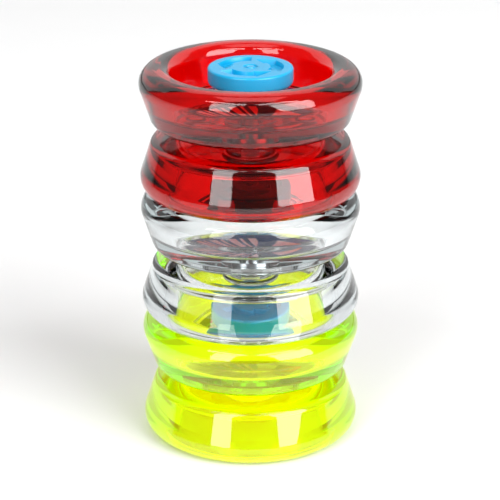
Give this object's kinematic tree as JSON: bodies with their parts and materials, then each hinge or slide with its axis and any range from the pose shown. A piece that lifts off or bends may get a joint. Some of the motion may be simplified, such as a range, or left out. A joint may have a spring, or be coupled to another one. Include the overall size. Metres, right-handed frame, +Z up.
{
  "type": "diabolo",
  "caption": "Stack of see-through two-cup string spools, rim on rim, each with a ball bearing axle in its string gap and a dial in the upper cup that sets the gap.",
  "frame": {"origin": "centre of the lowest rim, on the surface that the stack stands on", "axes": "+Z up along the common axis of the spools"},
  "size_m": [0.058, 0.058, 0.1015],
  "materials": {
    "lime_plastic": "gloss",
    "clear_plastic": "gloss",
    "red_plastic": "gloss",
    "dial_plastic": "satin",
    "label_film": "gloss",
    "pad_silicone": "matte",
    "bolt_steel": "machined",
    "spacer_aluminium": "turned",
    "race_steel": "ground",
    "ball_steel": "polished",
    "shield_steel": "satin",
    "cage_nylon": "moulded",
    "washer_nylon": "moulded",
    "insert_brass": "machined"
  },
  "bodies": {
    "lime_lower": {"lime_lower_cup": "lime_plastic", "lime_axle_bolt": "bolt_steel", "lime_lower_spacer": "spacer_aluminium", "lime_inner_race": "race_steel", "lime_lower_pad": "pad_silicone", "lime_bolt_cap": "lime_plastic"},
    "lime_upper": {"lime_upper_cup": "lime_plastic", "lime_upper_spacer": "spacer_aluminium", "lime_upper_pad": "pad_silicone", "lime_label": "label_film", "lime_thrust_washer": "washer_nylon"},
    "lime_dial_turn": {"lime_dial": "dial_plastic", "lime_dial_insert": "insert_brass"},
    "lime_race": {"lime_outer_race": "race_steel", "lime_bearing_shields": "shield_steel"},
    "lime_cage": {"lime_ball_cage": "cage_nylon", "lime_bearing_balls": "ball_steel"},
    "clear_lower": {"clear_lower_cup": "clear_plastic", "clear_axle_bolt": "bolt_steel", "clear_lower_spacer": "spacer_aluminium", "clear_inner_race": "race_steel", "clear_lower_pad": "pad_silicone", "clear_bolt_cap": "clear_plastic"},
    "clear_upper": {"clear_upper_cup": "clear_plastic", "clear_upper_spacer": "spacer_aluminium", "clear_upper_pad": "pad_silicone", "clear_label": "label_film", "clear_thrust_washer": "washer_nylon"},
    "clear_dial_turn": {"clear_dial": "dial_plastic", "clear_dial_insert": "insert_brass"},
    "clear_race": {"clear_outer_race": "race_steel", "clear_bearing_shields": "shield_steel"},
    "clear_cage": {"clear_ball_cage": "cage_nylon", "clear_bearing_balls": "ball_steel"},
    "red_lower": {"red_lower_cup": "red_plastic", "red_axle_bolt": "bolt_steel", "red_lower_spacer": "spacer_aluminium", "red_inner_race": "race_steel", "red_lower_pad": "pad_silicone", "red_bolt_cap": "red_plastic"},
    "red_upper": {"red_upper_cup": "red_plastic", "red_upper_spacer": "spacer_aluminium", "red_upper_pad": "pad_silicone", "red_label": "label_film", "red_thrust_washer": "washer_nylon"},
    "red_dial_turn": {"red_dial": "dial_plastic", "red_dial_insert": "insert_brass"},
    "red_race": {"red_outer_race": "race_steel", "red_bearing_shields": "shield_steel"},
    "red_cage": {"red_ball_cage": "cage_nylon", "red_bearing_balls": "ball_steel"}
  },
  "joints": [
    {"name": "lime_gap", "type": "slide", "parent": "lime_lower", "child": "lime_upper", "axis": [0, 0, 1], "range_m": [0, 0.0007]},
    {"name": "lime_dial", "type": "hinge", "parent": "lime_upper", "child": "lime_dial_turn", "pos_m": [0, 0, 0.0309], "axis": [0, 0, 1], "range_deg": [0, 360]},
    {"name": "lime_race_spin", "type": "hinge", "parent": "lime_lower", "child": "lime_race", "pos_m": [0, 0, 0.0169], "axis": [0, 0, 1], "continuous": true},
    {"name": "lime_cage_spin", "type": "hinge", "parent": "lime_lower", "child": "lime_cage", "pos_m": [0, 0, 0.0169], "axis": [0, 0, 1], "continuous": true},
    {"name": "clear_lift", "type": "slide", "parent": "lime_upper", "child": "clear_lower", "axis": [0, 0, 1], "range_m": [0, 0.05]},
    {"name": "clear_gap", "type": "slide", "parent": "clear_lower", "child": "clear_upper", "axis": [0, 0, 1], "range_m": [0, 0.0007]},
    {"name": "clear_dial", "type": "hinge", "parent": "clear_upper", "child": "clear_dial_turn", "pos_m": [0, 0, 0.06475], "axis": [0, 0, 1], "range_deg": [0, 360]},
    {"name": "clear_race_spin", "type": "hinge", "parent": "clear_lower", "child": "clear_race", "pos_m": [0, 0, 0.05075], "axis": [0, 0, 1], "continuous": true},
    {"name": "clear_cage_spin", "type": "hinge", "parent": "clear_lower", "child": "clear_cage", "pos_m": [0, 0, 0.05075], "axis": [0, 0, 1], "continuous": true},
    {"name": "red_lift", "type": "slide", "parent": "clear_upper", "child": "red_lower", "axis": [0, 0, 1], "range_m": [0, 0.05]},
    {"name": "red_gap", "type": "slide", "parent": "red_lower", "child": "red_upper", "axis": [0, 0, 1], "range_m": [0, 0.0007]},
    {"name": "red_dial", "type": "hinge", "parent": "red_upper", "child": "red_dial_turn", "pos_m": [0, 0, 0.0986], "axis": [0, 0, 1], "range_deg": [0, 360]},
    {"name": "red_race_spin", "type": "hinge", "parent": "red_lower", "child": "red_race", "pos_m": [0, 0, 0.0846], "axis": [0, 0, 1], "continuous": true},
    {"name": "red_cage_spin", "type": "hinge", "parent": "red_lower", "child": "red_cage", "pos_m": [0, 0, 0.0846], "axis": [0, 0, 1], "continuous": true}
  ],
  "couplings": [
    {"joint": "lime_dial", "follows": "lime_gap", "rad_per_m": 8976},
    {"joint": "lime_cage_spin", "follows": "lime_race_spin", "ratio": 0.58399},
    {"joint": "clear_dial", "follows": "clear_gap", "rad_per_m": 8976},
    {"joint": "clear_cage_spin", "follows": "clear_race_spin", "ratio": 0.58399},
    {"joint": "red_dial", "follows": "red_gap", "rad_per_m": 8976},
    {"joint": "red_cage_spin", "follows": "red_race_spin", "ratio": 0.58399}
  ]
}
